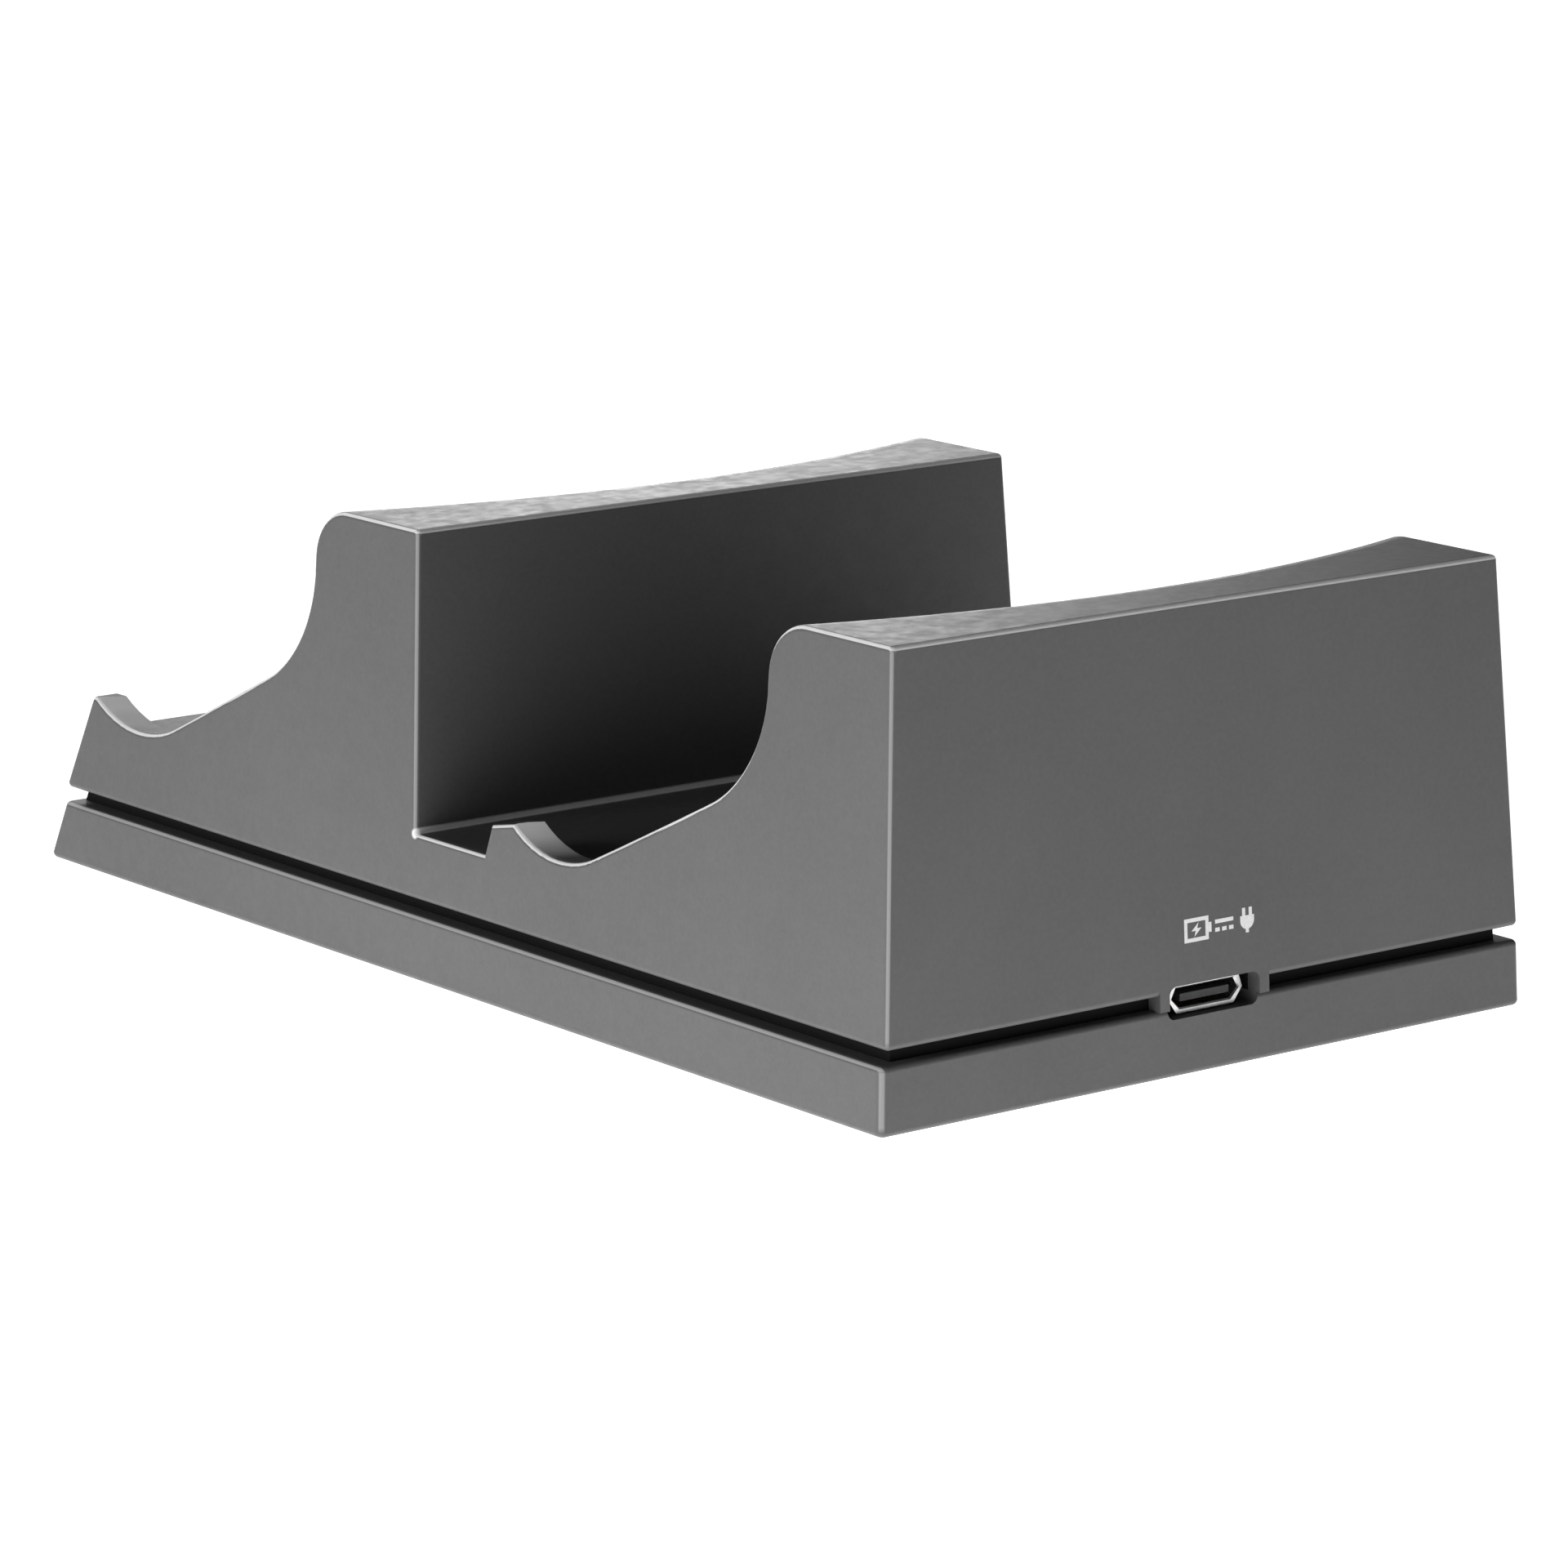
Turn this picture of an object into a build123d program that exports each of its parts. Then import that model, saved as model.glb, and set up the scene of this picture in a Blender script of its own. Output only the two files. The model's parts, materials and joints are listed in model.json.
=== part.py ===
"""Two-bay charging dock for game controllers: an upper housing on a low base, with what they hold."""

import os
from math import cos, hypot, radians, sin, sqrt, tan

from build123d import *

os.makedirs("parts", exist_ok=True)

# Outer form, in millimetres and degrees
width = 66.0              # across the foot of the upper housing
upper_height = 30.7       # shadow gap to the flat tops of the two walls
shadow_gap = 1.25         # dark line between base and upper housing
base_height = 5.5
draft = 3.15              # lean of the upper housing's sides and back
front_rake = 25.2         # lean of the sloping front
base_draft = 1.9
base_side_step = 0.35     # base stands out past the upper housing's sides
base_front_step = 0.3     # base stands back from the upper housing's front
base_back_step = 0.2      # base stands back from the upper housing's back
corner_radius = 0.7       # upright corners of the base
edge_radius = 0.45        # all other outer edges
wall = 2.0                # moulded wall of the upper housing
base_floor = 2.0          # moulded floor of the base

# Bays: each is a scoop turned about an upright axis in front of it
bay_pitch = 62.4          # from one wall to the next
wall_radius = 93.2        # face of the wall, in plan
wall_crest = 5.5          # thickness of the wall's flat top at its middle
wall_back_draft = 2.5     # lean of the front wall's back
top_round = 4.2           # rounding from the wall's face to its flat top
wall_straight = 1.4       # upright stretch of the wall's face
bend_radius = 11.5        # from the wall's face into the ramp
ramp_angle = 27.8
floor_rise = 5.5          # bay floor above the shadow gap
lip_height = 3.35         # ears above the bay floor
trough_rise = 1.4         # lowest point behind an ear, above the bay floor
front_trough_radius = 10.9
rear_trough_radius = 9.0
riser_angle = 45.0        # between the ears, a steep riser joins the floor to the ramp
riser_setback = 3.0       # the riser's foot, behind where the ramp would meet the floor
ear_thickness = 2.4
front_lip = 1.1           # length of the front ears' flat tops
rear_lip = 3.5            # length of the rear ears' sloping tops
ear_drop = 0.7            # front edge of the rear ears below their lip
ear_lean = 18.0           # lean of the rear ears' front

# Joint between the housings
neck_depth = 1.5          # the shadow gap's depth
rim_thickness = 1.2
rim_engagement = 1.0      # rim inside the upper housing
fit_gap = 0.1             # clearance of pieces that slot together

# Feet and housing screws
foot_diameter = 9.0
foot_thickness = 1.6
foot_proud = 0.8
foot_side_inset = 8.0
foot_end_inset = 10.0
screw_to_foot = 12.0      # each housing screw from the foot beside it
post_diameter = 6.4
post_rise = 0.5           # the screw posts meet this far above the shadow gap
screw_diameter = 2.4
screw_reach = 4.0         # thread inside the upper housing
screw_head_diameter = 4.4
screw_head_height = 1.6
screw_recess = 3.2        # seat of the screw head above the base's underside

# Main board
board_to_post = 2.8       # board's long edges to the screw posts
board_thickness = 1.6
board_standoff = 1.3
board_margin = 0.6        # board edge to the base's rim
board_corner = 1.5
board_screw_diameter = 2.0
board_screw_reach = 2.6   # below the board
board_screw_head = 3.8
board_screw_head_height = 1.25
board_screw_inset = 3.2   # from the board's long edges
board_screw_end = 11.0    # from the board's short edges
standoff_diameter = 5.0

# Power socket, across the shadow gap in the middle of the back
socket_width = 7.5
socket_height = 2.2
socket_depth = 5.0
socket_sheet = 0.3
socket_taper = 0.9        # slope of the shell's lower corners
socket_flare = 0.12       # flared mouth, outwards and in depth
socket_recess = 1.2       # mouth inside the back face
socket_tongue = 0.6
socket_mouth = 3.6        # open depth in front of the insulator
cutout_width = 9.4
cutout_height = 2.7
cutout_corner = 0.7
tab_width = 11.4          # piece of the upper housing that bridges the shadow gap

# Charging plug in each bay
plug_width = 6.85
plug_thickness = 1.8
plug_taper = 0.7          # slope of the shell's front corners
plug_reach = 5.2          # shell above its seat
plug_sheet = 0.25
plug_tongue = 0.45
seat_length = 12.0
seat_width = 6.4
seat_rise = 2.0           # seat above the bay floor
seat_flange = 1.5         # thickness, and how far it stands out
seat_chamfer = 0.5
contact_count = 5
contact_pitch = 0.65
contact_width = 0.36
contact_thickness = 0.12
contact_inset = 0.4       # contacts end short of their tongue

# Plug boards and the headers below them
plug_board_length = 25.0
plug_board_margin = 0.5   # past the seat in front and the header behind
plug_board_thickness = 1.2
plug_screw_spacing = 19.5
plug_screw_diameter = 1.6
plug_screw_head = 3.0
plug_screw_head_height = 1.0
plug_screw_reach = 2.2
plug_boss_diameter = 4.2
header_offset = 7.6       # header behind the plug
header_pins = 4
header_pitch = 2.54
header_width = 2.5
pin_diameter = 0.64
pin_stub = 0.7            # pin past each board

# Status lights and light pipes
light_inset = 3.0         # from the board's long edges
light_setback = 2.6       # from the board's front edge
light_size = (1.6, 0.9, 0.7)
pipe_diameter = 1.8
pipe_to_ceiling = 0.4     # pipe below the bay floor's underside
pipe_bend = 1.3
pipe_gap = 0.2            # pipe above its light

# Components on the main board
controller_size = (4.9, 3.9, 1.5)
controller_lead = (0.42, 1.0, 0.2)
controller_leads = 4      # on each long side
controller_pitch = 1.27
controller_offset = 13.0  # behind each plug
inductor_size = (6.2, 6.2, 2.8)
inductor_chamfer = 1.0
capacitor_diameter = 6.3
capacitor_height = 5.8
capacitor_base = 0.9
chip_size = (2.0, 1.25, 0.9)
chip_offset = 6.0         # beside each controller
resistor_size = (0.8, 1.6, 0.5)
resistor_count = 4
resistor_spacing = 2.0
resistor_offset = 4.5     # behind each controller
socket_to_parts = 8.0     # inductor and capacitor ahead of the socket
parts_gap = 4.0           # between inductor and capacitor

# Levels
z_base = foot_proud
z_rim = z_base + base_height
z_upper = z_rim + shadow_gap
z_top = z_upper + upper_height
z_floor = z_upper + floor_rise
z_lip = z_floor + lip_height
z_trough = z_floor + trough_rise
z_ledge = z_upper + rim_engagement
z_post = z_upper + post_rise
z_tray = z_base + base_floor
z_board = z_tray + board_standoff + board_thickness
z_socket = z_board + socket_height / 2
z_ceiling = z_floor - wall
z_plug_board = z_ceiling - seat_flange
z_seat = z_floor + seat_rise
z_pipe = z_ceiling - pipe_to_ceiling - pipe_diameter / 2
z_over = z_top + top_round

# Radial section of a bay
ramp = radians(ramp_angle)
z_bend = z_top - top_round - wall_straight
bend_r = wall_radius - bend_radius
crest_r = wall_radius + top_round
axis_setback = wall_crest + crest_r


def ramp_foot(gap=0.0):
    """Radius and level at which the ramp of a bay, grown by gap, runs into its bend."""
    bend = bend_radius + gap
    return bend_r + bend * sin(ramp), z_bend - bend * cos(ramp)


def on_ramp(level, gap=0.0):
    """Radius at which the ramp of a bay, grown by gap, stands at a level."""
    foot_r, foot_z = ramp_foot(gap)
    return foot_r - (foot_z - level) / tan(ramp)


trough_radii = {"front": front_trough_radius, "rear": rear_trough_radius}
lip_rise = lip_height - trough_rise
riser = radians(riser_angle)
floor_r = on_ramp(z_floor) + riser_setback


def trough_points(bay):
    """Radius and level of a trough's lip, of its lowest point and of its end on the ramp."""
    bend = trough_radii[bay]
    z_end = z_trough + bend * (1 - cos(ramp))
    end_r = on_ramp(z_end)
    low_r = end_r - bend * sin(ramp)
    lip_r = low_r - sqrt(bend**2 - (bend - lip_rise) ** 2)
    return (lip_r, z_lip), (low_r, z_trough), (end_r, z_end)



# Ears, with their tops ending at the troughs behind them
rake = radians(front_rake)
lean = radians(draft)
base_lean = radians(base_draft)
ear_inner = width / 2 - (z_lip - z_upper) * tan(lean) - ear_thickness


def lip_end(bay):
    """Lip of an ear, half way across it, from the crest of the wall behind it."""
    lip_r = trough_points(bay)[0][0]
    return axis_setback - sqrt(lip_r**2 - (ear_inner + ear_thickness / 2) ** 2)


front_reach = lip_end("front") + front_lip + (z_lip - z_upper) * tan(rake)

# Front and back, with the middle of the whole depth at zero
base_toe = base_height * tan(rake) - base_front_step
housing_depth = front_reach + bay_pitch + upper_height * tan(lean)
toe_rounding = edge_radius * (tan(rake) + 1 / cos(rake) - 1)
tab_spread = shadow_gap * tan(lean)
y_back = (housing_depth + base_toe - toe_rounding - tab_spread) / 2
y_front = y_back - housing_depth
rear_crest = y_back - upper_height * tan(lean)
front_crest = rear_crest - bay_pitch


def upper_faces(level, inset=0.0):
    """Half width, front and back of the upper housing's form at a level, set in from the outside."""
    rise = level - z_upper
    half = width / 2 - rise * tan(lean) - inset / cos(lean)
    front = y_front + rise * tan(rake) + inset / cos(rake)
    back = y_back - rise * tan(lean) - inset / cos(lean)
    return half, front, back


def base_faces(level):
    """Half width, front and back of the base at a level."""
    drop = z_rim - level
    half = width / 2 + base_side_step + drop * tan(base_lean)
    front = y_front + base_front_step - drop * tan(rake)
    back = y_back - base_back_step + drop * tan(base_lean)
    return half, front, back


def set_in(inset):
    """The upper housing's form, set in from the outside."""
    return lambda level: upper_faces(level, inset)


def block(low, high, faces, mode=Mode.ADD):
    """Four-sided block between two levels of a form: its side view across its end view."""
    low_half, low_front, low_back = faces(low)
    high_half, high_front, high_back = faces(high)
    with BuildSketch(Plane.YZ) as side_view:
        Polygon((low_front, low), (low_back, low), (high_back, high), (high_front, high), align=None)
    with BuildSketch(Plane.XZ) as end_view:
        Polygon((-low_half, low), (low_half, low), (high_half, high), (-high_half, high), align=None)
    across = extrude(side_view.sketch, amount=width, both=True, mode=Mode.PRIVATE)
    along = extrude(end_view.sketch, amount=housing_depth, both=True, mode=Mode.PRIVATE)
    add(across & along, mode=mode)


def upright(edge):
    """True for an edge that climbs."""
    return abs((edge @ 1 - edge @ 0).Z) > edge.length / 2


def keep(piece, node):
    """Label a finished piece and write it to its own file."""
    piece.part.label = node
    export_step(piece.part, f"parts/{node}.step")


# Spaces of the two bays
def front_mouth(level):
    """Ahead of the whole front, where the front bay opens."""
    return y_front - floor_rise


def rear_mouth(level):
    """Back of the front wall, where the rear bay begins."""
    return front_crest + (z_top - level) * tan(radians(wall_back_draft))


bay_axes = {"front": front_crest - axis_setback, "rear": rear_crest - axis_setback}
bay_mouths = {"front": front_mouth, "rear": rear_mouth}

# The turned scoops begin between the foot of the front wall and the end of the flat floor
wall_foot_r = hypot(width / 2, rear_mouth(z_floor) - bay_axes["rear"])
floor_end = sqrt(floor_r**2 - ear_inner**2)
scoop_inner = (wall_foot_r + floor_end) / 2
scoop_join = (scoop_inner + floor_end) / 2


def wall_line(start, gap=0.0):
    """Ramp, bend, wall and rounded crest in a bay's radial section, from start on the ramp."""
    foot = Line(start, ramp_foot(gap))
    bend = JernArc(foot @ 1, (cos(ramp), sin(ramp)), bend_radius + gap, 90 - ramp_angle)
    rise = Line(bend @ 1, (wall_radius + gap, z_top - top_round))
    crown = JernArc(rise @ 1, (0, 1), top_round - gap, -90)
    Polyline(crown @ 1, (crest_r, z_over), (scoop_inner, z_over))


def turn(section, axis_y, mode=Mode.ADD):
    """Half turn of a radial section about a bay's axis, from side to side."""
    revolve(section.sketch, axis=Axis((0, axis_y, 0), (0, 0, 1)), revolution_arc=180, mode=mode)


def prism(half, points, mode=Mode.ADD):
    """Side view extruded to both sides of the middle."""
    with BuildSketch(Plane.YZ) as section:
        with BuildLine():
            Polyline(*points, close=True)
        make_face()
    extrude(section.sketch, amount=half, both=True, mode=mode)


def ear_space(bay):
    """Space of a bay above its ears and troughs, over the whole width."""
    axis_y = bay_axes[bay]
    mouth = bay_mouths[bay]
    lip, low, end = trough_points(bay)
    join = axis_y + lip[0]
    with BuildPart() as space:
        with BuildSketch(Plane.XZ.offset(-axis_y)) as section:
            with BuildLine():
                Polyline((scoop_inner, z_over), (scoop_inner, z_lip), lip)
                ThreePointArc(lip, low, end)
                wall_line(end)
            make_face()
        turn(section, axis_y)
        shelf = [(mouth(z_lip), z_lip)]
        if bay == "rear":
            ear_lip = axis_y + axis_setback - lip_end(bay)
            ear_front = ear_lip - rear_lip
            ear_foot = ear_front - (lip_height - ear_drop) * tan(radians(ear_lean))
            ear = [(ear_foot, z_floor), (ear_front, z_lip - ear_drop), (ear_lip, z_lip)]
            shelf = [(mouth(z_floor), z_floor)] + ear
        prism(width, shelf + [(join, z_lip), (join, z_over), (mouth(z_over), z_over)])
    return space.part


def pan_space(bay):
    """Space of a bay down to its flat floor, between the ears."""
    axis_y = bay_axes[bay]
    mouth = bay_mouths[bay]
    join = axis_y + scoop_join
    with BuildPart() as space:
        with BuildSketch(Plane.XZ.offset(-axis_y)) as section:
            with BuildLine():
                riser_head = (floor_r + (z_bend - z_floor) / tan(riser), z_bend)
                floor = Polyline((scoop_inner, z_bend), (scoop_inner, z_floor), (floor_r, z_floor))
                Polyline(floor @ 1, riser_head, floor @ 0)
            make_face()
        turn(section, axis_y)
        with Locations((0, axis_y, 0)):
            Box(2 * ear_inner, 4 * crest_r, 4 * z_over, mode=Mode.INTERSECT)
        floor = [(mouth(z_floor), z_floor), (join, z_floor)]
        prism(ear_inner, floor + [(join, z_over), (mouth(z_over), z_over)])
    return space.part


# Places that several pieces share
front_floor = bay_axes["front"] + floor_r - upper_faces(z_floor)[1]
plug_ys = {bay: axis_y + floor_r - front_floor / 2 for bay, axis_y in bay_axes.items()}
plug_screw_xs = (-plug_screw_spacing / 2, plug_screw_spacing / 2)
plug_board_front = -seat_width / 2 - seat_flange - plug_board_margin
plug_board_back = header_offset + header_width / 2 + plug_board_margin
plug_board_width = plug_board_back - plug_board_front
plug_board_centre = (plug_board_front + plug_board_back) / 2
foot_x = width / 2 - foot_side_inset
foot_front = y_front + foot_end_inset
foot_rear = y_back - foot_end_inset
feet = {
    "front_left_foot": (-foot_x, foot_front),
    "front_right_foot": (foot_x, foot_front),
    "rear_left_foot": (-foot_x, foot_rear),
    "rear_right_foot": (foot_x, foot_rear),
}
screw_rows = (foot_front + screw_to_foot, foot_rear - screw_to_foot)
screw_points = [(x, y) for x in (-foot_x, foot_x) for y in screw_rows]
tray_inset = neck_depth + rim_thickness
board_front = upper_faces(z_board, tray_inset)[1] + board_margin
board_back = upper_faces(z_board, tray_inset)[2] - board_margin
board_middle = (board_front + board_back) / 2
board_width = 2 * (foot_x - post_diameter / 2 - board_to_post)
board_screw_x = board_width / 2 - board_screw_inset
board_screw_rows = (board_front + board_screw_end, board_back - board_screw_end)
board_screw_points = [(x, y) for x in (-board_screw_x, board_screw_x) for y in board_screw_rows]
header_span = (header_pins - 1) * header_pitch
pin_points = [
    (i * header_pitch - header_span / 2, y + header_offset)
    for y in plug_ys.values()
    for i in range(header_pins)
]
socket_y = upper_faces(z_socket)[2] - socket_recess
socket_plane = Plane.XZ.offset(-socket_y)
light_y = board_front + light_setback
light_x = board_width / 2 - light_inset
light_xs = (-light_x, light_x)


# Upper housing: the drafted block, its two bays, and the hollow under them
def hollow_space():
    """Inside of the upper housing, a wall's thickness from its outside, less its posts and bosses."""
    riser_r = floor_r + wall * tan(riser / 2)
    climb = (riser_r - on_ramp(z_ceiling, wall)) / (1 / tan(ramp) - 1 / tan(riser))
    riser_foot = (riser_r, z_ceiling)
    riser_end = (riser_r + climb / tan(riser), z_ceiling + climb)
    with BuildPart() as space:
        block(z_rim, z_top - wall, set_in(wall))
        for bay, axis_y in bay_axes.items():
            mouth = bay_mouths[bay]
            join = axis_y + scoop_join
            with BuildSketch(Plane.XZ.offset(-axis_y)) as section:
                with BuildLine():
                    Polyline((scoop_inner, z_over), (scoop_inner, z_ceiling), riser_foot, riser_end)
                    wall_line(riser_end, wall)
                make_face()
            turn(section, axis_y, Mode.SUBTRACT)
            roof = [(mouth(z_ceiling) - wall, z_ceiling), (join, z_ceiling)]
            prism(width, roof + [(join, z_over), (mouth(z_over) - wall, z_over)], Mode.SUBTRACT)
        with BuildSketch(Plane.XY.offset(z_post)):
            with Locations(*screw_points):
                Circle(post_diameter / 2)
        extrude(amount=z_over, mode=Mode.SUBTRACT)
        with BuildSketch(Plane.XY.offset(z_plug_board)):
            with Locations(*[(x, y) for x in plug_screw_xs for y in plug_ys.values()]):
                Circle(plug_boss_diameter / 2)
        extrude(amount=z_over, mode=Mode.SUBTRACT)
        block(z_rim, z_ledge, set_in(neck_depth - fit_gap))
    return space.part


def socket_cutout(rounded_top=True):
    """Opening for the power socket in the back, drawn on the mouth's plane."""
    with Locations((0, z_socket)):
        RectangleRounded(cutout_width, cutout_height, cutout_corner)
        if not rounded_top:
            with Locations((0, cutout_height / 2)):
                Rectangle(cutout_width, cutout_height)


bay_spaces = [space(bay) for bay in bay_axes for space in (ear_space, pan_space)]
hollow = hollow_space()

with BuildPart() as upper_housing:
    block(z_upper, z_top, upper_faces)
    for space in bay_spaces:
        add(space, mode=Mode.SUBTRACT)
    across = faces().sort_by(Axis.X)
    along = faces().sort_by(Axis.Y)
    crests = faces().filter_by(Axis.Z).group_by(Axis.Z)[-1]
    wall_foot = edges().filter_by(Axis.X).sort_by_distance((0, rear_mouth(z_floor), z_floor))[0]
    fillet([edge for face in (across[0], across[-1], along[0], along[-1]) for edge in face.edges()]
           + [face.edges().sort_by(Axis.Y)[-1] for face in crests] + [wall_foot], edge_radius)
    tab_foot = upper_faces(z_rim)[2]
    tab_head = upper_faces(z_ledge)[2]
    tab = [(tab_foot, z_rim), (tab_head, z_ledge), (tab_head - wall, z_ledge), (tab_foot - wall, z_rim)]
    prism(tab_width / 2, tab)
    add(hollow, mode=Mode.SUBTRACT)
    with BuildSketch(Plane.XY.offset(z_ceiling)):
        with Locations(*[(0, y) for y in plug_ys.values()]):
            SlotOverall(seat_length + 2 * fit_gap, seat_width + 2 * fit_gap)
    extrude(amount=wall, mode=Mode.SUBTRACT)
    with Locations(*[Plane(origin=(x, y, z_post), z_dir=(0, 0, -1)) for x, y in screw_points]):
        Hole(screw_diameter / 2 + fit_gap / 2, screw_reach + wall / 2)
    plug_screw_points = [(x, y, z_plug_board) for x in plug_screw_xs for y in plug_ys.values()]
    with Locations(*[Plane(origin=point, z_dir=(0, 0, -1)) for point in plug_screw_points]):
        Hole(plug_screw_diameter / 2 + fit_gap / 2, plug_screw_reach + fit_gap)
    with BuildSketch(socket_plane):
        socket_cutout()
    extrude(amount=wall + socket_recess, both=True, mode=Mode.SUBTRACT)
    with BuildSketch(Plane.XZ.offset(-y_front)):
        with Locations(*[(x, z_pipe) for x in light_xs]):
            Circle(pipe_diameter / 2 + fit_gap / 2)
    extrude(amount=-floor_rise, mode=Mode.SUBTRACT)
keep(upper_housing, "upper_housing")

# Base: a tray with a recessed rim, screw posts, standoffs and foot recesses
with BuildPart() as base_housing:
    block(z_base, z_rim, base_faces)
    fillet(edges().filter_by(upright), corner_radius)
    fillet(faces().sort_by(Axis.Z)[0].edges() + faces().sort_by(Axis.Z)[-1].edges(), edge_radius)
    block(z_rim, z_ledge, set_in(neck_depth))
    block(z_tray, z_ledge + wall, set_in(tray_inset), Mode.SUBTRACT)
    with BuildSketch(Plane.XY.offset(z_tray)):
        with Locations(*screw_points):
            Circle(post_diameter / 2)
    extrude(amount=z_post - z_tray)
    with BuildSketch(Plane.XY.offset(z_tray)):
        with Locations(*board_screw_points):
            Circle(standoff_diameter / 2)
    extrude(amount=board_standoff)
    with Locations(*[Plane(origin=(x, y, z_base), z_dir=(0, 0, -1)) for x, y in screw_points]):
        CounterBoreHole(screw_diameter / 2 + fit_gap, screw_head_diameter / 2 + fit_gap, screw_recess)
    with Locations(*[(x, y, z_tray + board_standoff) for x, y in board_screw_points]):
        Hole(board_screw_diameter / 2 + fit_gap / 2, board_screw_reach + fit_gap)
    with BuildSketch(Plane.XY.offset(z_base)):
        with Locations(*feet.values()):
            Circle(foot_diameter / 2 + fit_gap)
    extrude(amount=foot_thickness - foot_proud, mode=Mode.SUBTRACT)
    with BuildSketch(socket_plane):
        socket_cutout(rounded_top=False)
    extrude(amount=tray_inset + wall, both=True, mode=Mode.SUBTRACT)
keep(base_housing, "base_housing")

# Rubber feet
for node, (x, y) in feet.items():
    with BuildPart() as foot:
        with BuildSketch():
            with Locations((x, y)):
                Circle(foot_diameter / 2)
        extrude(amount=foot_thickness)
        fillet(edges().group_by(Axis.Z)[0], foot_proud / 2)
    keep(foot, node)


def screw(seat, shank, reach, head, head_height, direction):
    """Pan-head screw, with its head's underside at seat and its shank pointing along direction."""
    plane = Plane(origin=seat, z_dir=(0, 0, direction))
    with BuildSketch(plane) as shank_section:
        Circle(shank / 2)
    extrude(shank_section.sketch, amount=reach)
    with BuildSketch(plane) as head_section:
        Circle(head / 2)
    extrude(head_section.sketch, amount=-head_height)


# Screws, one node for each kind
with BuildPart() as housing_screws:
    seat_level = z_base + screw_recess
    for x, y in screw_points:
        reach = z_post + screw_reach - seat_level
        screw((x, y, seat_level), screw_diameter, reach, screw_head_diameter, screw_head_height, 1)
keep(housing_screws, "housing_screws")

with BuildPart() as board_screws:
    for x, y in board_screw_points:
        reach = board_thickness + board_screw_reach
        screw((x, y, z_board), board_screw_diameter, reach, board_screw_head, board_screw_head_height, -1)
keep(board_screws, "board_screws")

with BuildPart() as plug_board_screws:
    under = z_plug_board - plug_board_thickness
    for y in plug_ys.values():
        for x in plug_screw_xs:
            reach = plug_board_thickness + plug_screw_reach
            screw((x, y, under), plug_screw_diameter, reach, plug_screw_head, plug_screw_head_height, 1)
keep(plug_board_screws, "plug_board_screws")

# Main board
with BuildPart() as main_board:
    with BuildSketch(Plane.XY.offset(z_board - board_thickness)):
        with Locations((0, board_middle)):
            RectangleRounded(board_width, board_back - board_front, board_corner)
        with Locations(*board_screw_points):
            Circle(board_screw_diameter / 2 + fit_gap, mode=Mode.SUBTRACT)
        with Locations(*pin_points):
            Circle(pin_diameter / 2 + fit_gap, mode=Mode.SUBTRACT)
    extrude(amount=board_thickness)
keep(main_board, "main_board")


# Power socket
def socket_outline(grow=0.0):
    """Six-sided section of the socket's shell, wider at half height."""
    half = socket_width / 2 + grow
    rise = socket_height / 2 + grow
    upper = half - socket_taper / 2
    lower = half - socket_taper
    side = [(upper, rise), (half, 0), (lower, -rise)]
    with Locations((0, z_socket)):
        Polygon(*side, *[(-x, z) for x, z in reversed(side)], align=None)


def socket_stretch(near, far, grow_near, grow_far, mode):
    """Stretch of the socket between two depths from its mouth."""
    outlines = []
    for depth, grow in ((near, grow_near), (far, grow_far)):
        with BuildSketch(socket_plane.offset(depth)) as outline:
            socket_outline(grow)
        outlines.append(outline.sketch)
    loft(outlines, mode=mode)


with BuildPart() as power_socket_shell:
    for skin, mode in ((0.0, Mode.ADD), (socket_sheet, Mode.SUBTRACT)):
        socket_stretch(0, socket_flare, socket_flare - skin, -skin, mode)
        socket_stretch(socket_flare, socket_depth, -skin, -skin, mode)
keep(power_socket_shell, "power_socket_shell")

socket_inner = socket_width - 2 * (socket_taper + socket_sheet)
with BuildPart() as power_socket_insulator:
    socket_stretch(socket_mouth, socket_depth, -socket_sheet, -socket_sheet, Mode.ADD)
    with BuildSketch(socket_plane.offset(socket_flare)):
        with Locations((0, z_socket)):
            Rectangle(socket_inner, socket_tongue)
    extrude(amount=socket_mouth - socket_flare)
keep(power_socket_insulator, "power_socket_insulator")

contact_span = (contact_count - 1) * contact_pitch
contact_xs = [i * contact_pitch - contact_span / 2 for i in range(contact_count)]
with BuildPart() as power_socket_contacts:
    with BuildSketch(socket_plane.offset(socket_flare + contact_inset)):
        with Locations(*[(x, z_socket - socket_tongue / 2 - contact_thickness / 2) for x in contact_xs]):
            Rectangle(contact_width, contact_thickness)
    extrude(amount=socket_mouth - socket_flare - contact_inset)
keep(power_socket_contacts, "power_socket_contacts")


# Charging plugs, their boards and headers
def plug_section(y, grow=0.0):
    """Section of a plug's shell, with sloping corners on one side."""
    half = plug_width / 2
    deep = plug_thickness / 2
    side = [(half, deep), (half, 0), (half - plug_taper, -deep)]
    with Locations((0, y)):
        Polygon(*side, *[(-x, v) for x, v in reversed(side)], align=None)
    if grow:
        offset(amount=grow, kind=Kind.INTERSECTION, mode=Mode.REPLACE)


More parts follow.
